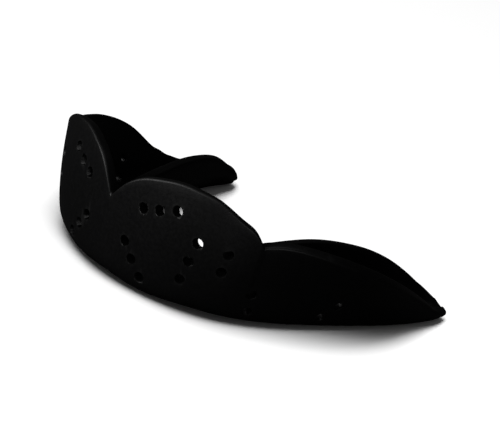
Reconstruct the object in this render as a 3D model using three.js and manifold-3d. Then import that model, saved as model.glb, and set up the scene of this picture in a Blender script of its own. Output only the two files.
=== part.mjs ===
// Moulded sports mouthguard for the upper teeth: one thin perforated sheet,
// bent into a U-shaped tray with a tall scalloped front flange and a
// troughed wing along each row of back teeth.
// Millimetres. +X towards the wearer's left, -Y out of the mouth, +Z up.
// Z = 0 is the plane the underside of both wings rests on.
//
// u runs along the tray: 0 on the midline, positive on the +X side, +-END_U at the wing tips.
// A cross section is drawn in [ offset, height ]: offset outward from the tray's
// front bottom edge, height over its underside.

import * as THREE from 'three';
import { LoftGeometry } from 'three/addons/geometries/LoftGeometry.js';
import { mergeVertices } from 'three/addons/utils/BufferGeometryUtils.js';
import Module from 'manifold-3d';

// ---- driving dimensions ---------------------------------------------------

const SHEET = 1.70;            // thickness of the moulded sheet
const BEND = 2.65;             // outer radius where a wall turns into the bite plate
const MAX_BEND_SHARE = 0.7;    // most of a low wall's height that its bend may take
const LAND = 2.1;              // level strip of the underside, next to the outer bend
const MAX_LAND_SHARE = 0.6;    // most of the plate's width that the level strip may take
const LINGUAL_LEAN = 0.156;    // inward lean of the tongue-side wall, mm per mm
const MID_X = 0.69;            // midline to the middle of the box, as the walls differ
const MID_Y = 25.25;           // front of the tray to the middle of its depth

const NOTCH_U = 0.3662;        // where the lobe meets the wing
const FLAT_U = 0.55;           // from here to the tip the underside is level
const TIP_U = 0.91;            // where a wing starts to round off
const END_U = 0.975;           // tip of a wing
const SHUT_U = END_U - 0.05;   // where the channel starts to close off
const TIP_ROUNDING = 0.6;      // share of a quarter circle's radius that the rounding runs through
const FIXED_SHEET_SHARE = 0.35; // share of the thickness that doesn't thin with the tip

const HOLE_DIA = 1.65;         // punched vent holes
const HOLE_SIDES = 8;
const PUNCH_LENGTH = 2.4 * SHEET;
const LOBE_SIDE_U = 0.2;       // from here to the notch, the lobe's holes shift on the -X side
const SIDE_SHIFT = 0.02;       // how much further back they sit there, in u

// Subdivision of the cross section
const WALL_STEPS = [ 1, 0.75, 0.5, 0.25 ];   // shares of the outer wall above its bend
const LINGUAL_STEPS = [ 0.5, 1 ];            // shares of the tongue-side wall above its bend
const RIM_STEPS = [ 0.25, 0.75 ];            // shares of the half circle round a rim
const BEND_STEPS = 3;

// cross sections of one half, besides the one on the midline
const STATIONS = [
	0.03662, 0.07323, 0.1099, 0.1465, 0.1831, 0.2197, 0.2563, 0.2893, 0.3186, 0.3442, 0.3588,
	0.3662, 0.3762, 0.3962, 0.43, 0.48, 0.53, 0.58, 0.63, 0.68, 0.72, 0.76, 0.8, 0.84, 0.875,
	0.9, 0.92, 0.934, 0.946, 0.956, 0.965, 0.975,
];

// ---- tables: [ u, value ] for one half, mirrored to the other ---------------

// plan of the front bottom edge, across
const ARCH_X = [
	[ 0, 0 ], [ 0.06, 3.701 ], [ 0.12, 7.466 ], [ 0.18, 11.275 ], [ 0.25, 15.298 ],
	[ 0.32, 18.368 ], [ 0.4, 20.868 ], [ 0.48, 22.679 ], [ 0.55, 23.997 ], [ 0.65, 25.795 ],
	[ 0.75, 27.317 ], [ 0.87, 28.351 ], [ 0.975, 28.157 ],
];

// plan of the front bottom edge, front to back
const ARCH_Y = [
	[ 0, 0 ], [ 0.06, 0.429 ], [ 0.12, 1.475 ], [ 0.18, 2.88 ], [ 0.25, 5.174 ],
	[ 0.32, 8.418 ], [ 0.4, 12.96 ], [ 0.48, 17.92 ], [ 0.55, 22.438 ], [ 0.65, 29.032 ],
	[ 0.75, 35.762 ], [ 0.87, 44.007 ], [ 0.975, 51.366 ],
];

// height of the underside over the resting plane
const FLOOR = [
	[ 0, 0.705 ], [ 0.06, 0.477 ], [ 0.12, 0.25 ], [ 0.18, 0.467 ], [ 0.25, 0.742 ],
	[ 0.32, 0.594 ], [ 0.4, 0.319 ], [ 0.48, 0.101 ], [ 0.55, 0 ], [ 0.975, 0 ],
];

// outward lean of the outer wall, mm per mm of height
const LEAN = [
	[ 0, 0.1172 ], [ 0.08, 0.1562 ], [ 0.15, 0.2245 ], [ 0.22, 0.2886 ], [ 0.3, 0.3392 ],
	[ 0.4, 0.3566 ], [ 0.5, 0.3374 ], [ 0.62, 0.2884 ], [ 0.75, 0.1996 ], [ 0.87, 0.0747 ],
	[ 0.975, -0.0761 ],
];

// outward curve of the outer wall, mm per mm of height squared
const BULGE = [
	[ 0, -0.0041 ], [ 0.12, -0.0081 ], [ 0.25, -0.0125 ], [ 0.4, -0.0047 ], [ 0.55, 0.0119 ],
	[ 0.75, 0.0313 ], [ 0.975, 0.0229 ],
];

// height of the front lobe, from the midline notch to the side notch
const LOBE_RIM = [
	[ 0, 12.547 ], [ 0.0366, 15.666 ], [ 0.0732, 17.662 ], [ 0.1172, 18.862 ],
	[ 0.1648, 19.432 ], [ 0.2197, 19.166 ], [ 0.2563, 18.774 ], [ 0.2929, 17.837 ],
	[ 0.3222, 16.889 ], [ 0.3479, 15.846 ], [ 0.3662, 14.239 ],
];

// height of the wing, from the side notch to the tip
const WING_RIM = [
	[ 0.3662, 14.239 ], [ 0.385, 14.747 ], [ 0.41, 15.16 ], [ 0.44, 15.272 ], [ 0.48, 15.006 ],
	[ 0.53, 14.352 ], [ 0.58, 13.423 ], [ 0.63, 12.231 ], [ 0.68, 10.784 ], [ 0.73, 9.16 ],
	[ 0.78, 7.443 ], [ 0.83, 5.727 ], [ 0.88, 4.015 ], [ 0.915, 2.777 ], [ 0.945, 2.067 ],
	[ 0.975, 1.537 ],
];

// how much lower the outer wall runs on the -X side
const RIGHT_RIM_DROP = [
	[ 0, 0 ], [ 0.1, 0 ], [ 0.2, 0.212 ], [ 0.25, 0.53 ], [ 0.3, 0.901 ],
	[ 0.366, 1.325 ], [ 0.43, 1.537 ], [ 0.5, 1.696 ], [ 0.57, 1.802 ], [ 0.63, 1.855 ],
	[ 0.67, 2.173 ], [ 0.7, 2.862 ], [ 0.725, 3.286 ], [ 0.745, 3.18 ], [ 0.765, 3.18 ],
	[ 0.785, 2.915 ], [ 0.81, 2.544 ], [ 0.85, 1.537 ], [ 0.89, 0.318 ], [ 0.93, -0.371 ],
	[ 0.975, -0.636 ],
];

// width of the bite plate between its two bends
const PLATE = [
	[ 0, 2.955 ], [ 0.2, 3.148 ], [ 0.4, 3.611 ], [ 0.55, 3.956 ], [ 0.7, 3.825 ],
	[ 0.85, 2.684 ], [ 0.93, 1.484 ], [ 0.975, 0.742 ],
];

// rise of the bite plate towards the tongue, mm per mm
const SLOPE = [
	[ 0, -0.0519 ], [ 0.15, -0.0117 ], [ 0.3, 0.0824 ], [ 0.4, 0.1563 ], [ 0.5, 0.2303 ],
	[ 0.62, 0.3116 ], [ 0.75, 0.3849 ], [ 0.87, 0.4346 ], [ 0.93, 0.39 ], [ 0.975, 0.23 ],
];

// height of the tongue-side wall
const LINGUAL = [
	[ 0, 3.287 ], [ 0.1, 4.487 ], [ 0.2, 5.605 ], [ 0.3, 6.706 ], [ 0.4, 7.604 ],
	[ 0.5, 8.269 ], [ 0.6, 8.601 ], [ 0.7, 7.96 ], [ 0.8, 6.573 ], [ 0.9, 4.007 ],
	[ 0.94, 2.65 ], [ 0.96, 1.823 ], [ 0.975, 1.113 ],
];

// how much lower the tongue-side wall runs on the -X side
const RIGHT_LINGUAL_DROP = [
	[ 0, 0 ], [ 0.25, 0 ], [ 0.4, 0.424 ], [ 0.55, 0.795 ], [ 0.7, 0.933 ],
	[ 0.85, 0.901 ], [ 0.93, 0.53 ], [ 0.975, 0.106 ],
];

// holes through the outer wall: [ u, height, turn towards the midline in degrees ]
const WALL_HOLES = [
	[ 0.098, 13.66, 16 ], [ 0.138, 14.43, 14 ], [ 0.178, 15.34, 10 ],
	[ 0.071, 7.38, 8 ], [ 0.098, 5.26, 4 ], [ 0.127, 3.12, 0 ],
	[ 0.238, 11.65, 12 ], [ 0.229, 8.47, 4 ], [ 0.220, 5.28, 0 ],
	[ 0.303, 11.51, 0 ], [ 0.299, 8.45, 0 ],
	[ 0.376, 5.95, 0 ], [ 0.383, 2.81, 0 ],
	[ 0.596, 5.43, 0 ], [ 0.567, 2.92, 0 ],
];

// holes through the bite plate: [ u, share of the plate's width from the outer bend ]
const PLATE_HOLES = [
	[ 0.545, 0.15 ], [ 0.70, 0.1 ], [ 0.665, 0.55 ], [ 0.63, 0.95 ],
];

// ---- interpolation ----------------------------------------------------------

// natural cubic spline; parity 1 mirrors the table evenly about u = 0, -1 oddly,
// and 0 leaves it as it stands
function spline( table, parity = 0 ) {

	const mirror = parity === 0 ? [] : table
		.filter( ( [ x ] ) => x > 0 )
		.map( ( [ x, y ] ) => [ - x, parity * y ] )
		.reverse();
	const nodes = [ ...mirror, ...table ];
	const count = nodes.length;
	const curvature = new Array( count ).fill( 0 );
	const upper = new Array( count ).fill( 0 );
	const reduced = new Array( count ).fill( 0 );
	const width = ( i ) => nodes[ i + 1 ][ 0 ] - nodes[ i ][ 0 ];
	const gradient = ( i ) => ( nodes[ i + 1 ][ 1 ] - nodes[ i ][ 1 ] ) / width( i );

	// tridiagonal system for the second derivatives
	for ( let i = 1; i < count - 1; i ++ ) {

		const before = width( i - 1 ), after = width( i );
		const pivot = 2 * ( before + after ) - before * upper[ i - 1 ];
		const target = 6 * ( gradient( i ) - gradient( i - 1 ) );
		upper[ i ] = after / pivot;
		reduced[ i ] = ( target - before * reduced[ i - 1 ] ) / pivot;

	}

	for ( let i = count - 2; i > 0; i -- ) {

		curvature[ i ] = reduced[ i ] - upper[ i ] * curvature[ i + 1 ];

	}

	return ( x ) => {

		let i = 0;
		while ( i < count - 2 && x > nodes[ i + 1 ][ 0 ] ) i ++;
		const h = width( i );
		const a = ( nodes[ i + 1 ][ 0 ] - x ) / h;
		const b = ( x - nodes[ i ][ 0 ] ) / h;
		return a * nodes[ i ][ 1 ] + b * nodes[ i + 1 ][ 1 ]
			+ ( ( a * a * a - a ) * curvature[ i ] + ( b * b * b - b ) * curvature[ i + 1 ] ) * h * h / 6;

	};

}

// smooth across the midline and the same on both sides
function evenSpline( table ) {

	const curve = spline( table, 1 );
	return ( u ) => curve( Math.abs( u ) );

}

const archX = spline( ARCH_X, - 1 );
const archY = spline( ARCH_Y, 1 );
const floorLine = evenSpline( FLOOR );
const lean = evenSpline( LEAN );
const bulge = evenSpline( BULGE );
const plateWidth = evenSpline( PLATE );
const slope = evenSpline( SLOPE );
const lingual = evenSpline( LINGUAL );
const lobeRim = spline( LOBE_RIM );
const wingRim = spline( WING_RIM );
const rightRimDrop = spline( RIGHT_RIM_DROP );
const rightLingualDrop = spline( RIGHT_LINGUAL_DROP );

// ---- measures of the cross section at u ---------------------------------------

const floorHeight = ( u ) => Math.abs( u ) >= FLAT_U ? 0 : Math.max( 0, floorLine( u ) );
const lingualHeight = ( u ) => lingual( u ) - ( u < 0 ? rightLingualDrop( - u ) : 0 );
const landWidth = ( u ) => Math.min( LAND, MAX_LAND_SHARE * plateWidth( u ) );
const trayWidth = ( u ) => 2 * BEND + plateWidth( u );

function rimHeight( u ) {

	const distance = Math.abs( u );
	const height = distance <= NOTCH_U ? lobeRim( distance ) : wingRim( distance );
	return u < 0 ? height - rightRimDrop( distance ) : height;

}

// how far a bend draws a wall in at a height
function bendInset( height ) {

	const below = Math.max( 0, BEND - height );
	return BEND - Math.sqrt( BEND * BEND - below * below );

}

function wallOffset( u, height ) {

	return lean( u ) * height + bulge( u ) * height * height - bendInset( height );

}

function lingualOffset( u, height ) {

	return - trayWidth( u ) + bendInset( height ) - LINGUAL_LEAN * height;

}

// rise of the underside at an offset: none over the level strip, then the slope
function rise( u, offset ) {

	const width = plateWidth( u ), land = landWidth( u );
	const share = ( - BEND - land - offset ) / ( width + BEND - land );
	return slope( u ) * ( width + BEND ) * THREE.MathUtils.clamp( share, 0, 1 );

}

// narrowing of the section that rounds off the tip of a wing
function tipShare( u ) {

	const along = Math.max( 0, ( Math.abs( u ) - TIP_U ) / ( END_U - TIP_U ) ) * TIP_ROUNDING;
	return Math.sqrt( 1 - along * along );

}

// a point of the section at u, placed in space
function place( u, offset, height ) {

	const step = 1e-3;
	const dx = archX( u + step ) - archX( u - step );
	const dy = archY( u + step ) - archY( u - step );
	const length = Math.hypot( dx, dy );
	return new THREE.Vector3(
		archX( u ) + dy / length * offset,
		archY( u ) + - dx / length * offset - MID_Y,
		floorHeight( u ) + height
	);

}

// ---- the tray ---------------------------------------------------------------

// down the outer wall, under the plate and up the tongue-side wall
function outerSkin( u ) {

	const wallTop = rimHeight( u ) - SHEET / 2;
	const lingualTop = lingualHeight( u ) - SHEET / 2;
	const wallBend = Math.min( BEND, MAX_BEND_SHARE * wallTop );
	const lingualBend = Math.min( BEND, MAX_BEND_SHARE * lingualTop );
	const bendAngles = Array.from( { length: BEND_STEPS + 1 }, ( _, i ) => i / BEND_STEPS * Math.PI / 2 );

	const wallHeights = [
		...WALL_STEPS.map( ( share ) => wallBend + ( wallTop - wallBend ) * share ),
		...bendAngles.map( ( angle ) => wallBend * ( 1 - Math.sin( angle ) ) ),
	];
	const skin = wallHeights.map( ( height ) => [ wallOffset( u, height ), height ] );
	skin.push( [ - BEND - landWidth( u ), 0 ] );

	for ( const angle of bendAngles ) {

		const height = lingualBend * ( 1 - Math.cos( angle ) );
		const offset = lingualOffset( u, height );
		skin.push( [ offset, height + rise( u, offset ) ] );

	}

	for ( const share of LINGUAL_STEPS ) {

		const height = lingualBend + ( lingualTop - lingualBend ) * share;
		skin.push( [ lingualOffset( u, height ), height + rise( u, - trayWidth( u ) ) ] );

	}

	const middle = - ( BEND + plateWidth( u ) / 2 );
	return skin.map( ( [ offset, z ] ) => [ middle + ( offset - middle ) * tipShare( u ), z ] );

}

// unit normals of a skin, towards the channel
function skinNormals( skin ) {

	return skin.map( ( _, i ) => {

		const before = skin[ Math.max( 0, i - 1 ) ];
		const after = skin[ Math.min( skin.length - 1, i + 1 ) ];
		const dx = after[ 0 ] - before[ 0 ], dz = after[ 1 ] - before[ 1 ];
		const length = Math.hypot( dx, dz );
		return [ dz / length, - dx / length ];

	} );

}

// draw the inner skin onto the line between its ends, closing the channel at a tip
function shutChannel( skin, u ) {

	const shut = THREE.MathUtils.smoothstep( Math.abs( u ), SHUT_U, END_U );
	const last = skin.length - 1;
	return skin.map( ( point, i ) => i === 0 || i === last ? point : point.map( ( value, axis ) => {

		const start = skin[ 0 ][ axis ], end = skin[ last ][ axis ];
		return value + shut * ( start + ( end - start ) * ( i / last ) - value );

	} ) );

}

// half circle over a rim; side is 1 on the outer wall, -1 on the tongue side
function roundRim( from, to, side, normal, sheet ) {

	return RIM_STEPS.map( ( share ) => {

		const angle = share * Math.PI;
		const across = ( 1 - Math.cos( angle ) ) / 2;
		const up = Math.sin( angle ) * sheet / 2;
		return [
			from[ 0 ] + ( to[ 0 ] - from[ 0 ] ) * across + side * normal[ 1 ] * up,
			from[ 1 ] + ( to[ 1 ] - from[ 1 ] ) * across - side * normal[ 0 ] * up,
		];

	} );

}

// one closed cross section
function section( u ) {

	const sheet = SHEET * ( FIXED_SHEET_SHARE + ( 1 - FIXED_SHEET_SHARE ) * tipShare( u ) );
	const outer = outerSkin( u );
	const normals = skinNormals( outer );
	const offsetSkin = outer.map( ( point, i ) =>
		point.map( ( value, axis ) => value + sheet * normals[ i ][ axis ] ) );
	const inner = shutChannel( offsetSkin, u );
	const last = outer.length - 1;

	const ring = [
		...outer,
		...roundRim( outer[ last ], inner[ last ], - 1, normals[ last ], sheet ),
		...[ ...inner ].reverse(),
		...roundRim( inner[ 0 ], outer[ 0 ], 1, normals[ 0 ], sheet ),
	];
	return ring.map( ( [ offset, height ] ) => place( u, offset, height ) );

}

const wasm = await Module();
wasm.setup();

function toSolid( geometry ) {

	geometry.deleteAttribute( 'normal' );
	geometry.deleteAttribute( 'uv' );
	const merged = mergeVertices( geometry, 1e-5 );
	return new wasm.Manifold( new wasm.Mesh( {
		numProp: 3,
		vertProperties: new Float32Array( merged.attributes.position.array ),
		triVerts: new Uint32Array( merged.index.array )
	} ) );

}

function buildTray() {

	const stations = [ ...STATIONS.map( ( u ) => - u ).reverse(), 0, ...STATIONS ];
	return toSolid( new LoftGeometry( stations.map( section ), { capStart: true, capEnd: true } ) );

}

// ---- vent holes ---------------------------------------------------------------

// a punch once through the sheet, from a point on its outer skin
function punch( point, direction ) {

	const cylinder = new THREE.CylinderGeometry( HOLE_DIA / 2, HOLE_DIA / 2, PUNCH_LENGTH, HOLE_SIDES );
	const axis = new THREE.Vector3( 0, 1, 0 );
	cylinder.applyQuaternion( new THREE.Quaternion().setFromUnitVectors( axis, direction ) );
	cylinder.translate( ...point.clone().addScaledVector( direction, - SHEET / 2 ).toArray() );
	return toSolid( cylinder );

}

// square to the outer wall, then turned about the vertical towards the midline
function wallPunch( u, height, turn ) {

	const onWall = ( along, up ) => place( along, wallOffset( along, up ), up );
	const step = 1e-3;
	const point = onWall( u, height );
	const alongWall = onWall( u + step, height ).sub( point );
	const upWall = onWall( u, height + step ).sub( point );
	const direction = alongWall.cross( upWall ).normalize();
	const angle = THREE.MathUtils.degToRad( - turn * Math.sign( u ) );
	return punch( point, direction.applyAxisAngle( new THREE.Vector3( 0, 0, 1 ), angle ) );

}

// straight down through the bite plate
function platePunch( u, share ) {

	const offset = - ( BEND + share * plateWidth( u ) );
	return punch( place( u, offset, rise( u, offset ) ), new THREE.Vector3( 0, 0, - 1 ) );

}

function punchHoles( solid ) {

	for ( const side of [ 1, - 1 ] ) {

		for ( const [ u, height, turn ] of WALL_HOLES ) {

			const shifted = side < 0 && u > LOBE_SIDE_U && u < NOTCH_U;
			const holeU = side * ( shifted ? u + SIDE_SHIFT : u );
			solid = solid.subtract( wallPunch( holeU, height, turn ) );

		}

		for ( const [ u, share ] of PLATE_HOLES ) {

			solid = solid.subtract( platePunch( side * u, share ) );

		}

	}

	return solid;

}

// ---- the mesh -----------------------------------------------------------------

function toGeometry( solid ) {

	const { vertProperties, triVerts } = solid.getMesh();
	const geometry = new THREE.BufferGeometry();
	const positions = new THREE.BufferAttribute( new Float32Array( vertProperties ), 3 );
	geometry.setAttribute( 'position', positions );
	geometry.setIndex( new THREE.BufferAttribute( new Uint32Array( triVerts ), 1 ) );
	geometry.computeVertexNormals();
	return geometry;

}

const blackPlastic = new THREE.MeshStandardMaterial( {
	color: 0x0b0b0c,
	roughness: 0.5,
	metalness: 0
} );

const mouthguard = new THREE.Mesh(
	toGeometry( punchHoles( buildTray() ).translate( [ - MID_X, 0, 0 ] ) ),
	blackPlastic
);
mouthguard.name = 'mouthguard';

const group = new THREE.Group();
group.add( mouthguard );

export default group;
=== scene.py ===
import math

import bmesh
import bpy
import numpy as np
from mathutils import Matrix, Vector
from mathutils.bvhtree import BVHTree
from mathutils.interpolate import poly_3d_calc


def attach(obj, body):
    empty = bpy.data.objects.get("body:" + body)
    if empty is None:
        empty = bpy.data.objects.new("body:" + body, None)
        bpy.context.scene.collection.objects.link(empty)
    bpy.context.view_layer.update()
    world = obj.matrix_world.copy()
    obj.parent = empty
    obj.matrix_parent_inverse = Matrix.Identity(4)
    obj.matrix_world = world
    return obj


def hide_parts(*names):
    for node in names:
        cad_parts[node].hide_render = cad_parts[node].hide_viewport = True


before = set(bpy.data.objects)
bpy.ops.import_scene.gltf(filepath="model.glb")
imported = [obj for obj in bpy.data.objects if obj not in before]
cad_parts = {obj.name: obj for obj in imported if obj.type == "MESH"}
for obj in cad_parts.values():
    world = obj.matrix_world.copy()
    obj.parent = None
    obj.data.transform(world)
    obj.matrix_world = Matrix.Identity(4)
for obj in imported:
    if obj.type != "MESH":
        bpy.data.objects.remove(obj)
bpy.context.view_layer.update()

# ---- driving dimensions, mm: the same tray as the frame's -----------------------

SHEET = 1.7
BEND = 2.65
HOLE_DIA = 1.65
MID_Y = 25.25
MID_X = 0.69
LAND = 2.1
FLAT_U = 0.55
LINGUAL_LEAN = 0.156
NOTCH_U = 0.3662
END_U = 0.975
TIP_U = 0.91
SIDE_SHIFT = 0.02    # the outermost holes of the -X lobe sit a little further back
RIM_CORNER = 0.42     # rounding of the sheet's cut edge
LIP = 0.06            # rounding of a vent hole's edge

# [u, value]: u runs along the tray, 0 on the midline, 1 at the tip of a wing
ARCH_X = [
    (0, 0), (0.06, 3.701), (0.12, 7.466), (0.18, 11.275), (0.25, 15.298),
    (0.32, 18.368), (0.4, 20.868), (0.48, 22.679), (0.55, 23.997), (0.65, 25.795),
    (0.75, 27.317), (0.87, 28.351), (0.975, 28.157),
]
ARCH_Y = [
    (0, 0), (0.06, 0.429), (0.12, 1.475), (0.18, 2.88), (0.25, 5.174),
    (0.32, 8.418), (0.4, 12.96), (0.48, 17.92), (0.55, 22.438), (0.65, 29.032),
    (0.75, 35.762), (0.87, 44.007), (0.975, 51.366),
]
FLOOR = [
    (0, 0.705), (0.06, 0.477), (0.12, 0.25), (0.18, 0.467), (0.25, 0.742),
    (0.32, 0.594), (0.4, 0.319), (0.48, 0.101), (0.55, 0), (0.975, 0),
]
LEAN = [
    (0, 0.11722), (0.08, 0.15624), (0.15, 0.22446), (0.22, 0.28858), (0.3, 0.33916),
    (0.4, 0.35661), (0.5, 0.33745), (0.62, 0.28844), (0.75, 0.19963), (0.87, 0.07465),
    (0.975, -0.07613),
]
BULGE = [
    (0, -0.00408), (0.12, -0.00806), (0.25, -0.0125), (0.4, -0.00473), (0.55, 0.01192),
    (0.75, 0.03126), (0.975, 0.02293),
]
LOBE_RIM = [
    (0, 12.547), (0.0366, 15.666), (0.0732, 17.662), (0.1172, 18.862), (0.1648, 19.432),
    (0.2197, 19.166), (0.2563, 18.774), (0.2929, 17.837), (0.3222, 16.889), (0.3479, 15.846),
    (0.3662, 14.239),
]
WING_RIM = [
    (0.3662, 14.239), (0.385, 14.747), (0.41, 15.16), (0.44, 15.272), (0.48, 15.006),
    (0.53, 14.352), (0.58, 13.423), (0.63, 12.231), (0.68, 10.784), (0.73, 9.16),
    (0.78, 7.443), (0.83, 5.727), (0.88, 4.015), (0.915, 2.777), (0.945, 2.067),
    (0.975, 1.537),
]
LEFT_DROP = [
    (0, 0), (0.1, 0), (0.2, 0.212), (0.25, 0.53), (0.3, 0.901),
    (0.366, 1.325), (0.43, 1.537), (0.5, 1.696), (0.57, 1.802), (0.63, 1.855),
    (0.67, 2.173), (0.7, 2.862), (0.725, 3.286), (0.745, 3.18), (0.765, 3.18),
    (0.785, 2.915), (0.81, 2.544), (0.85, 1.537), (0.89, 0.318), (0.93, -0.371),
    (0.975, -0.636),
]
PLATE = [
    (0, 2.955), (0.2, 3.148), (0.4, 3.611), (0.55, 3.956), (0.7, 3.825),
    (0.85, 2.684), (0.93, 1.484), (0.975, 0.742),
]
SLOPE = [
    (0, -0.05194), (0.15, -0.01171), (0.3, 0.0824), (0.4, 0.15632), (0.5, 0.23031),
    (0.62, 0.31158), (0.75, 0.38492), (0.87, 0.43462), (0.93, 0.39), (0.975, 0.23),
]
LINGUAL = [
    (0, 3.287), (0.1, 4.487), (0.2, 5.605), (0.3, 6.706), (0.4, 7.604),
    (0.5, 8.269), (0.6, 8.601), (0.7, 7.96), (0.8, 6.573), (0.9, 4.007),
    (0.94, 2.65), (0.96, 1.823), (0.975, 1.113),
]
LEFT_LOW = [
    (0, 0), (0.25, 0), (0.4, 0.424), (0.55, 0.795), (0.7, 0.933),
    (0.85, 0.901), (0.93, 0.53), (0.975, 0.106),
]
WALL_HOLES = [
    (0.098, 13.66, 16), (0.138, 14.43, 14), (0.178, 15.34, 10),
    (0.071, 7.38, 8), (0.098, 5.26, 4), (0.127, 3.12, 0),
    (0.238, 11.65, 12), (0.229, 8.47, 4), (0.220, 5.28, 0),
    (0.303, 11.51, 0), (0.299, 8.45, 0),
    (0.376, 5.95, 0), (0.383, 2.81, 0),
    (0.596, 5.43, 0), (0.567, 2.92, 0),
]
PLATE_HOLES = [( 0.545, 0.15 ), ( 0.70, 0.1 ), ( 0.665, 0.55 ), ( 0.63, 0.95 ),]


# ---- interpolation --------------------------------------------------------------

def spline(nodes, parity=0):
    """Natural cubic spline; parity 1 mirrors the table evenly about u = 0, -1 oddly."""
    side = [] if parity == 0 else [(-a, parity * b) for a, b in nodes if a > 0][::-1]
    p = np.array(side + list(nodes), float)
    x, y = p[:, 0], p[:, 1]
    n = len(x)
    h = np.diff(x)
    a = np.eye(n)
    r = np.zeros(n)
    for i in range(1, n - 1):
        a[i, i - 1:i + 2] = h[i - 1], 2 * (h[i - 1] + h[i]), h[i]
        r[i] = 6 * ((y[i + 1] - y[i]) / h[i] - (y[i] - y[i - 1]) / h[i - 1])
    m = np.linalg.solve(a, r)

    def f(v):
        i = int(np.clip(np.searchsorted(x, v) - 1, 0, n - 2))
        s, t = (x[i + 1] - v) / h[i], (v - x[i]) / h[i]
        return s * y[i] + t * y[i + 1] + ((s ** 3 - s) * m[i] + (t ** 3 - t) * m[i + 1]) * h[i] ** 2 / 6

    return f


arch_x, arch_y = spline(ARCH_X, -1), spline(ARCH_Y, 1)
floor_line = spline(FLOOR, 1)
lean, bulge = spline(LEAN, 1), spline(BULGE, 1)
plate, slope, lingual = spline(PLATE, 1), spline(SLOPE, 1), spline(LINGUAL, 1)
lobe, wing, left_drop, left_low = spline(LOBE_RIM), spline(WING_RIM), spline(LEFT_DROP), spline(LEFT_LOW)


def tongue_height(u):
    return lingual(abs(u)) - (left_low(-u) if u < 0 else 0.0)


def rim_height(u):
    a = abs(u)
    h = lobe(a) if a <= NOTCH_U else wing(a)
    return h - left_drop(a) if u < 0 else h


def tip_share(u):
    q = max(0.0, (abs(u) - TIP_U) / (END_U - TIP_U)) * 0.6
    return math.sqrt(max(0.0, 1 - q * q))


def frame_at(u):
    e = 1e-3
    tx, ty = arch_x(u + e) - arch_x(u - e), arch_y(u + e) - arch_y(u - e)
    l = math.hypot(tx, ty)
    z = 0.0 if abs(u) >= FLAT_U else max(0.0, floor_line(abs(u)))
    return arch_x(u), arch_y(u), z, ty / l, -tx / l, tx / l, ty / l


def wall_offset(u, t):
    a = abs(u)
    s = max(0.0, BEND - t)
    return lean(a) * t + bulge(a) * t * t - (BEND - math.sqrt(BEND * BEND - s * s)) + fold(u, t)


def fold(u, t):
    """The back edge of a lobe stands a little proud of the wing behind it."""
    a = abs(u)
    g = FOLD_OUT * smooth((a - (NOTCH_U - 0.10)) / 0.10) if a <= NOTCH_U else 0.0
    w = -FOLD_IN * (1 - smooth((a - NOTCH_U) / 0.09)) if a > NOTCH_U else 0.0
    if NOTCH_U - 0.006 < a <= NOTCH_U + 0.006:
        k = (a - NOTCH_U + 0.006) / 0.012
        g, w = FOLD_OUT * (1 - k), -FOLD_IN * k
    return (g + w) * smooth((t - 3.0) / 8.0)


def smooth(x):
    x = min(1.0, max(0.0, x))
    return x * x * (3 - 2 * x)


FOLD_OUT, FOLD_IN = 0.10, 0.06


def lingual_offset(u, t):
    s = max(0.0, BEND - t)
    return -(2 * BEND + plate(abs(u))) + (BEND - math.sqrt(BEND * BEND - s * s)) - LINGUAL_LEAN * t


def rise(u, o):
    w = plate(abs(u))
    land = min(LAND, 0.6 * w)
    full = slope(abs(u)) * (w + BEND)
    x = min(1.0, max(0.0, (-BEND - land - o) / (w + BEND - land)))
    return full * x


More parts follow.
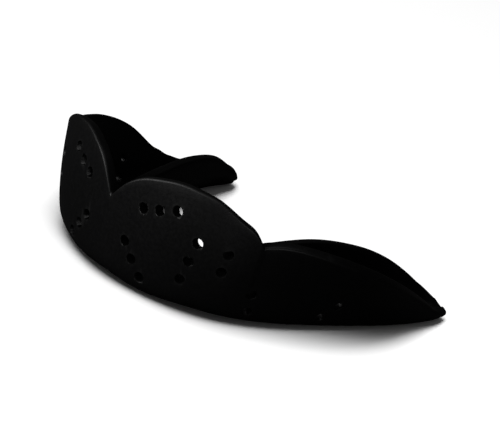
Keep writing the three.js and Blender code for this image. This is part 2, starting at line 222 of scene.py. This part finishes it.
def section(u, steps=(14, 7, 5, 8)):
    """One closed cross section as ring points, with the count of outer points, the count of cap points, the arch's
    tangent and the sheet's thickness.
    """
    nw, nb, npl, nl = steps
    x, y, z, nx, ny, tx, ty = frame_at(u)
    sheet = SHEET * (0.35 + 0.65 * tip_share(u))
    rc = min(RIM_CORNER, 0.42 * sheet)
    full_w, full_l = rim_height(u), tongue_height(u)
    hw, hl = full_w - rc, full_l - rc
    tb, tl = min(BEND, 0.7 * (full_w - sheet / 2)), min(BEND, 0.7 * (full_l - sheet / 2))
    outer = []
    for i in range(nw, 0, -1):
        t = tb + (hw - tb) * i / nw
        outer.append((wall_offset(u, t), t))
    for i in range(nb + 1):
        t = tb * (1 - math.sin(i / nb * math.pi / 2))
        outer.append((wall_offset(u, t), t))
    w = plate(abs(u))
    for i in range(1, npl):
        o = -BEND - w * i / npl
        outer.append((o, rise(u, o)))
    for i in range(nb + 1):
        t = tl * (1 - math.cos(i / nb * math.pi / 2))
        o = lingual_offset(u, t)
        outer.append((o, t + rise(u, o)))
    for i in range(1, nl + 1):
        t = tl + (hl - tl) * i / nl
        outer.append((lingual_offset(u, t), t + rise(u, -2 * BEND - w)))
    q = np.array(outer)
    mid = -(BEND + w / 2)
    q[:, 0] = mid + (q[:, 0] - mid) * tip_share(u)
    for _ in range(3):     # ease the joins between the bends and the walls
        q[1:-1] = q[1:-1] * 0.5 + (q[:-2] + q[2:]) * 0.25
    d = np.empty_like(q)
    d[1:-1] = q[2:] - q[:-2]
    d[0], d[-1] = q[1] - q[0], q[-1] - q[-2]
    d /= np.linalg.norm(d, axis=1)[:, None]
    nrm = np.stack([d[:, 1], -d[:, 0]], 1)     # towards the channel
    inner = q + sheet * nrm
    shut = smooth((abs(u) - (END_U - 0.05)) / 0.05)     # the channel closes off at the tip
    if shut > 0:
        s = np.concatenate([[0], np.cumsum(np.linalg.norm(np.diff(q, axis=0), axis=1))])
        s = (s / s[-1])[:, None]
        inner = inner + shut * (inner[0] + (inner[-1] - inner[0]) * s - inner)

    def cap(a, b, along):
        """Rounded cut edge from a to b, standing rc proud along the given direction."""
        across = (b - a) / np.linalg.norm(b - a)
        out = []
        for k in range(1, 6):
            w = k / 6 * math.pi / 2
            out.append(a + across * rc * (1 - math.cos(w)) + along * rc * math.sin(w))
        out.append(a + across * rc + along * rc)
        out.append((a + b) / 2 + along * rc * 1.03)
        out.append(b - across * rc + along * rc)
        for k in range(5, 0, -1):
            w = k / 6 * math.pi / 2
            out.append(b - across * rc * (1 - math.cos(w)) + along * rc * math.sin(w))
        return out

    end = cap(q[-1], inner[-1], d[-1])
    top = cap(inner[0], q[0], -d[0])
    ring = np.array(list(q) + end + list(inner[::-1]) + top)
    pts = np.empty((len(ring), 3))
    pts[:, 0] = x + nx * ring[:, 0]
    pts[:, 1] = y + ny * ring[:, 0] - MID_Y
    pts[:, 2] = z + ring[:, 1]
    n = len(q)
    return pts, n, len(end), np.array([tx, ty, 0.0]), sheet


def stations():
    """u values along one half, close together at the midline and the side notch."""
    n = NOTCH_U
    out = [0.0]
    def run(a, b, k):
        out.extend(a + (b - a) * (i + 1) / k for i in range(k))
    run(0.0, 0.03, 6)
    run(0.03, n - 0.03, 62)
    run(n - 0.03, n - 0.006, 8)
    run(n - 0.006, n + 0.006, 8)
    run(n + 0.006, n + 0.04, 10)
    run(n + 0.04, 0.90, 88)
    run(0.90, END_U, 26)
    return out


def tray_mesh():
    half = stations()
    us = [-u for u in half[:0:-1]] + half
    rows = []
    for u in us:
        pts, n, m, tan, sheet = section(u)
        rows.append(pts)
    # round the two ends off: the sheet thins towards its middle line
    def nose(u, sign):
        pts, n, m, tan, sheet = section(u)
        mid = pts.mean(axis=0) * 0.95 + middle(pts, n, m) * 0.05
        out = []
        for a in (20, 40, 58, 74, 86):
            a = math.radians(a)
            out.append(mid + (pts - mid) * math.cos(a) + sign * tan * 0.5 * math.sin(a))
        return out, n, m
    front, n, m = nose(us[0], -1)
    back, _, _ = nose(us[-1], 1)
    rows = front[::-1] + rows + back
    cols = len(rows[0])
    verts = np.concatenate(rows) / 1000
    faces = []
    for i in range(len(rows) - 1):
        a, b = i * cols, (i + 1) * cols
        for j in range(cols):
            k = (j + 1) % cols
            faces.append((a + j, a + k, b + k, b + j))
    def lid(base, flip):
        q = list(range(n))
        end = list(range(n, n + m))
        inn = list(range(n + m, 2 * n + m))[::-1]
        top = list(range(2 * n + m, cols))
        f = [(q[i], inn[i], inn[i + 1], q[i + 1]) for i in range(n - 1)]
        f.append(tuple([q[-1]] + [inn[-1]] + end[::-1]))
        f.append(tuple([inn[0], q[0]] + top[::-1]))
        for g in f:
            g = tuple(base + v for v in g)
            faces.append(g[::-1] if flip else g)
    lid(0, True)
    lid((len(rows) - 1) * cols, False)
    me = bpy.data.meshes.new("mouthguard_moulding")
    me.from_pydata([tuple(v) for v in verts], [], faces)
    me.validate()
    bm = bmesh.new()
    bm.from_mesh(me)
    bmesh.ops.recalc_face_normals(bm, faces=bm.faces)
    if bm.calc_volume(signed=True) < 0:
        bmesh.ops.reverse_faces(bm, faces=bm.faces)
    open_edges = [e for e in bm.edges if not e.is_manifold]
    print("tray", len(bm.verts), "verts", len(open_edges), "open edges", "volume", bm.calc_volume() * 1e9)
    bm.to_mesh(me)
    bm.free()
    return me


def middle(pts, n, m):
    """For each ring point, the point of the sheet's middle line it belongs to."""
    cols = len(pts)
    mid = np.empty_like(pts)
    q, inn = pts[:n], pts[n + m:2 * n + m][::-1]
    c = (q + inn) / 2
    mid[:n] = c
    mid[n + m:2 * n + m] = c[::-1]
    mid[n:n + m] = c[-1]
    mid[2 * n + m:] = c[0]
    return mid


# ---- vent holes -----------------------------------------------------------------

def wall_point(u, t, turn=0):
    def at(a, b):
        x, y, z, nx, ny, _, _ = frame_at(a)
        o = wall_offset(a, b)
        return np.array([x + nx * o, y + ny * o - MID_Y, z + b])
    p, e = at(u, t), 1e-3
    n = np.cross(at(u + e, t) - p, at(u, t + e) - p)
    a = math.radians(-turn * (1 if u > 0 else -1))
    c, s = math.cos(a), math.sin(a)
    n = np.array([n[0] * c - n[1] * s, n[0] * s + n[1] * c, n[2]])
    return p, n / np.linalg.norm(n)


def plate_point(u, share):
    def at(a, s):
        x, y, z, nx, ny, _, _ = frame_at(a)
        o = -(BEND + s * plate(abs(a)))
        return np.array([x + nx * o, y + ny * o - MID_Y, z + rise(a, o)])
    p = at(u, share)
    return p, np.array([0.0, 0.0, -1.0])


def punch(bm, point, normal, sides=40):
    """A spool that cuts one hole square to the sheet and rounds both its edges."""
    r, f, s = HOLE_DIA / 2, LIP, SHEET
    prof = [(r + f + 0.02, -0.7), (r + f + 0.02, -0.02)]
    for k in range(1, 8):
        a = k / 7 * math.pi / 2
        prof.append((r + f - f * math.sin(a), f - f * math.cos(a)))
    prof += [(p, s - q) for p, q in prof[::-1]]
    n = Vector(normal).normalized()
    rot = n.to_track_quat("Z", "Y").to_matrix()
    base = Vector(point)
    rings = []
    for rad, depth in prof:
        ring = []
        for i in range(sides):
            a = 2 * math.pi * i / sides
            v = base + rot @ Vector((rad * math.cos(a), rad * math.sin(a), -depth))
            ring.append(bm.verts.new(v / 1000))
        rings.append(ring)
    for a, b in zip(rings, rings[1:]):
        for i in range(sides):
            j = (i + 1) % sides
            bm.faces.new((a[i], a[j], b[j], b[i]))
    bm.faces.new(rings[0][::-1])
    bm.faces.new(rings[-1])


def cut_holes(obj):
    bm = bmesh.new()
    holes = []
    for side in (1, -1):
        for u, t, turn in WALL_HOLES:
            back = SIDE_SHIFT if side < 0 and 0.2 < u < NOTCH_U else 0.0
            holes.append(wall_point(side * (u + back), t, turn))
            punch(bm, *holes[-1])
        for u, s in PLATE_HOLES:
            holes.append(plate_point(side * u, s))
            punch(bm, *holes[-1])
    bmesh.ops.recalc_face_normals(bm, faces=bm.faces)
    me = bpy.data.meshes.new("punches")
    bm.to_mesh(me)
    bm.free()
    tool = bpy.data.objects.new("punches", me)
    bpy.context.scene.collection.objects.link(tool)
    mod = obj.modifiers.new("vents", "BOOLEAN")
    mod.operation = "DIFFERENCE"
    mod.object = tool
    mod.solver = "EXACT"
    try:
        mod.solver = "MANIFOLD"
    except TypeError:
        pass
    dg = bpy.context.evaluated_depsgraph_get()
    done = bpy.data.meshes.new_from_object(obj.evaluated_get(dg))
    obj.modifiers.clear()
    uncut, obj.data = obj.data, done
    bpy.data.objects.remove(tool)
    even_normals(done, uncut, holes)
    done.name = "mouthguard_moulding_mesh"
    done.transform(Matrix.Translation((-MID_X / 1000, 0, 0)))
    return obj


def even_normals(me, uncut, holes):
    """The skin round a hole keeps the uncut skin's normals, so that cutting leaves no ripple in the shine."""
    me.polygons.foreach_set("use_smooth", [True] * len(me.polygons))
    me.update()
    nv = len(me.vertices)
    co = np.empty(nv * 3, np.float32)
    me.vertices.foreach_get("co", co)
    co = co.reshape(-1, 3).astype(float) * 1000
    fc = np.empty(len(me.polygons) * 3, np.float32)
    me.polygons.foreach_get("center", fc)
    fc = fc.reshape(-1, 3).astype(float) * 1000
    fn = np.empty(len(me.polygons) * 3, np.float32)
    me.polygons.foreach_get("normal", fn)
    fn = fn.reshape(-1, 3).astype(float)
    fa = np.empty(len(me.polygons), np.float32)
    me.polygons.foreach_get("area", fa)
    bore = np.zeros(len(me.polygons), bool)
    for p, n in holes:
        d = fc - p
        along = d @ n
        off = np.linalg.norm(d - np.outer(along, n), axis=1)
        bore |= (off < HOLE_DIA / 2 + LIP + 0.01) & (along < 0.6) & (along > -SHEET - 0.8)
    ls = np.empty(len(me.polygons), np.int32)
    me.polygons.foreach_get("loop_start", ls)
    lt = np.empty(len(me.polygons), np.int32)
    me.polygons.foreach_get("loop_total", lt)
    lv = np.empty(len(me.loops), np.int32)
    me.loops.foreach_get("vertex_index", lv)
    face_of = np.repeat(np.arange(len(me.polygons)), lt)
    skin_vert = np.zeros(nv, bool)
    skin_vert[lv[~bore[face_of]]] = True
    inside = np.zeros((nv, 3))
    sel = bore[face_of]
    np.add.at(inside, lv[sel], (fn * fa[:, None])[face_of[sel]])
    whole = np.empty(nv * 3, np.float32)
    me.vertex_normals.foreach_get("vector", whole)
    whole = whole.reshape(-1, 3).astype(float)
    normals = whole.copy()
    only = (~skin_vert) & (np.linalg.norm(inside, axis=1) > 0)
    normals[only] = inside[only] / np.linalg.norm(inside[only], axis=1)[:, None]
    # skin vertices near a hole: nearest point on the uncut skin
    tree = BVHTree.FromPolygons([v.co[:] for v in uncut.vertices], [p.vertices[:] for p in uncut.polygons])
    un = np.empty(len(uncut.vertices) * 3, np.float32)
    uncut.vertex_normals.foreach_get("vector", un)
    un = un.reshape(-1, 3).astype(float)
    near = np.zeros(nv, bool)
    for p, n in holes:
        near |= np.linalg.norm(co - (p - n * SHEET / 2), axis=1) < HOLE_DIA / 2 + 2.4
    for i in np.nonzero(near & skin_vert)[0]:
        q = Vector(co[i] / 1000)
        hit, _, f, dist = tree.find_nearest(q)
        if f is None or dist > 0.00012:
            continue
        idx = list(uncut.polygons[f].vertices)
        w = poly_3d_calc([uncut.vertices[k].co for k in idx], hit)
        v = sum((un[k] * w[j] for j, k in enumerate(idx)), np.zeros(3))
        l = np.linalg.norm(v)
        if l > 1e-6:
            normals[i] = v / l
    me.normals_split_custom_set_from_vertices([tuple(v) for v in normals])


# ---- materials ------------------------------------------------------------------

def nodes_of(name):
    mat = bpy.data.materials.new(name)
    mat.use_nodes = True
    nt = mat.node_tree
    nt.nodes.clear()
    out = nt.nodes.new("ShaderNodeOutputMaterial")
    bsdf = nt.nodes.new("ShaderNodeBsdfPrincipled")
    nt.links.new(bsdf.outputs[0], out.inputs[0])
    return mat, nt, bsdf


def moulded_black():
    """Near-black satin thermoplastic: a fine moulded grain, faint flow variation and slightly duller edges."""
    mat, nt, bsdf = nodes_of("black_thermoplastic")
    N, L = nt.nodes.new, nt.links.new
    tex = N("ShaderNodeTexCoord")

    def noise(scale, detail, rough=0.55):
        n = N("ShaderNodeTexNoise")
        n.inputs["Scale"].default_value = scale
        n.inputs["Detail"].default_value = detail
        n.inputs["Roughness"].default_value = rough
        L(tex.outputs["Object"], n.inputs["Vector"])
        return n

    def ramp(src, a, b, lo, hi):
        r = N("ShaderNodeMapRange")
        r.inputs["From Min"].default_value, r.inputs["From Max"].default_value = a, b
        r.inputs["To Min"].default_value, r.inputs["To Max"].default_value = lo, hi
        L(src, r.inputs["Value"])
        return r.outputs["Result"]

    flow = noise(90, 3)          # centimetre-scale flow of the melt
    grain = noise(5200, 4, 0.6)  # moulded grain, about 0.2 mm
    pits = noise(1900, 2)

    col = N("ShaderNodeMixRGB")
    col.inputs[1].default_value = (BASE[0] * 0.85, BASE[1] * 0.85, BASE[2] * 0.85, 1)
    col.inputs[2].default_value = (BASE[0] * 1.25, BASE[1] * 1.25, BASE[2] * 1.25, 1)
    L(ramp(flow.outputs["Fac"], 0.3, 0.7, 0, 1), col.inputs[0])
    L(col.outputs[0], bsdf.inputs["Base Color"])

    geo = N("ShaderNodeNewGeometry")
    edge = ramp(geo.outputs["Pointiness"], 0.5, 0.58, 0, 1)
    rough = N("ShaderNodeMath")
    rough.operation = "MULTIPLY_ADD"
    L(edge, rough.inputs[0])
    rough.inputs[1].default_value = 0.22
    L(ramp(pits.outputs["Fac"], 0.3, 0.7, ROUGH - 0.04, ROUGH + 0.05), rough.inputs[2])
    L(rough.outputs[0], bsdf.inputs["Roughness"])
    bsdf.inputs["Specular IOR Level"].default_value = SPEC

    b1 = N("ShaderNodeBump")
    b1.inputs["Strength"].default_value = 0.10
    b1.inputs["Distance"].default_value = 0.00006
    L(grain.outputs["Fac"], b1.inputs["Height"])
    b2 = N("ShaderNodeBump")
    b2.inputs["Strength"].default_value = 0.05
    b2.inputs["Distance"].default_value = 0.0004
    L(pits.outputs["Fac"], b2.inputs["Height"])
    L(b1.outputs["Normal"], b2.inputs["Normal"])
    L(b2.outputs["Normal"], bsdf.inputs["Normal"])
    return mat


BASE = (0.0005, 0.0005, 0.00053)
ROUGH = 0.40
SPEC = 0.065
DOME = 0.12
KEY = 30.0
FRONT = 10.0
REAR = 0.2
TOP = 7.0
SIDE = 1.4


def pale_floor():
    mat, nt, bsdf = nodes_of("pale_floor")
    # painted shade in reflections: the floor stays pale to the camera and to diffuse light, but is near-black to
    # glossy rays, so the guard shows almost no reflection of it
    path = nt.nodes.new("ShaderNodeLightPath")
    mix = nt.nodes.new("ShaderNodeMixRGB")
    mix.inputs[1].default_value = (0.93, 0.93, 0.93, 1)
    mix.inputs[2].default_value = (0.02, 0.02, 0.02, 1)
    nt.links.new(path.outputs["Is Glossy Ray"], mix.inputs[0])
    nt.links.new(mix.outputs[0], bsdf.inputs["Base Color"])
    bsdf.inputs["Roughness"].default_value = 0.9
    bsdf.inputs["Specular IOR Level"].default_value = 0.0
    return mat


# ---- the mouthguard -------------------------------------------------------------

guard = bpy.data.objects.new("mouthguard_moulding", tray_mesh())
bpy.context.scene.collection.objects.link(guard)
cut_holes(guard)
guard.data.materials.clear()
guard.data.materials.append(moulded_black())
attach(guard, "root")
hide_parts("mouthguard")

# ---- floor, light and camera ----------------------------------------------------

fm = bpy.data.meshes.new("floor")
s = 3.0
fm.from_pydata([(-s, -s, 0), (s, -s, 0), (s, s, 0), (-s, s, 0)], [], [(0, 1, 2, 3)])
floor = bpy.data.objects.new("floor", fm)
floor.location.z = -0.00002
bpy.context.scene.collection.objects.link(floor)
fm.materials.append(pale_floor())

world = bpy.data.worlds.new("studio")
bpy.context.scene.world = world
world.use_nodes = True
wt = world.node_tree
bg = wt.nodes["Background"]
bg.inputs[0].default_value = (1, 1, 1, 1)
path = wt.nodes.new("ShaderNodeLightPath")      # a white cove that leaves little glare on the dark plastic
glare = wt.nodes.new("ShaderNodeMix")
glare.data_type = "FLOAT"
wt.links.new(path.outputs["Is Glossy Ray"], glare.inputs["Factor"])
glare.inputs["A"].default_value = DOME
glare.inputs["B"].default_value = DOME * 0.2
seen = wt.nodes.new("ShaderNodeMix")
seen.data_type = "FLOAT"
wt.links.new(path.outputs["Is Camera Ray"], seen.inputs["Factor"])
wt.links.new(glare.outputs["Result"], seen.inputs["A"])
seen.inputs["B"].default_value = 1.0
wt.links.new(seen.outputs["Result"], bg.inputs[1])

lit = bpy.data.collections.new("lit_guard")     # the fill lights fall on the guard and leave the floor's shadow alone
lit.objects.link(guard)
ground = bpy.data.collections.new("lit_ground")
ground.objects.link(floor)


def softbox(name, where, look, size, power):
    light = bpy.data.lights.new(name, "AREA")
    light.shape = "RECTANGLE"
    light.size, light.size_y = size
    light.energy = power
    o = bpy.data.objects.new(name, light)
    o.location = where
    o.rotation_mode = "QUATERNION"
    o.rotation_quaternion = (Vector(look) - Vector(where)).to_track_quat("-Z", "Y")
    bpy.context.scene.collection.objects.link(o)
    return o


key = softbox("key", (0.14, -0.50, 1.42), (0, 0, 0.01), (0.60, 1.35), KEY)
key.light_linking.receiver_collection = ground
top = softbox("top_fill", (0.10, -0.35, 1.45), (0, 0, 0.01), (0.55, 1.50), TOP)
top.light_linking.receiver_collection = lit
side = softbox("side_fill", (0.42, -0.36, 0.05), (0, 0, 0.01), (0.30, 0.09), SIDE)
side.light_linking.receiver_collection = lit
front = softbox("front_fill", (-0.24, -0.46, 0.26), (0, 0, 0.01), (0.45, 0.30), FRONT)
front.light_linking.receiver_collection = lit
rear = softbox("rear_fill", (0.08, 0.50, 0.30), (0, 0, 0.01), (0.45, 0.30), REAR)
rear.light_linking.receiver_collection = lit
rear.visible_glossy = False

# camera: azimuth, elevation and roll in degrees, distance in mm before scaling
AZ, EL, ROLL = 42.135, 20.891, 15.671
K = 1.06
a, e, ro = (math.radians(v) for v in (AZ, EL, ROLL))
back = Vector((math.sin(a) * math.cos(e), -math.cos(a) * math.cos(e), math.sin(e)))
right = Vector((math.cos(a), math.sin(a), 0))
up = back.cross(right)
r2 = right * math.cos(ro) + up * math.sin(ro)
u2 = up * math.cos(ro) - right * math.sin(ro)
target = Vector((-MID_X, 22 * K - MID_Y, 6 * K)) / 1000
where = target + back * (0.325 * K)
fwd = (-back + r2 * (33.787 / 2200) + u2 * (5.923 / 2200)).normalized()
zc = -fwd
xc = (r2 - zc * r2.dot(zc)).normalized()
yc = zc.cross(xc)
cam = bpy.data.cameras.new("camera")
cam.lens = 2200 / 500 * 36
cam.sensor_width = 36
cam.clip_start, cam.clip_end = 0.01, 20
camera = bpy.data.objects.new("camera", cam)
bpy.context.scene.collection.objects.link(camera)
camera.matrix_world = Matrix((
    (xc.x, yc.x, zc.x, where.x),
    (xc.y, yc.y, zc.y, where.y),
    (xc.z, yc.z, zc.z, where.z),
    (0, 0, 0, 1),
))
bpy.context.scene.camera = camera
bpy.context.scene.view_settings.view_transform = "Standard"
bpy.context.scene.view_settings.look = "None"

bpy.context.view_layer.update()
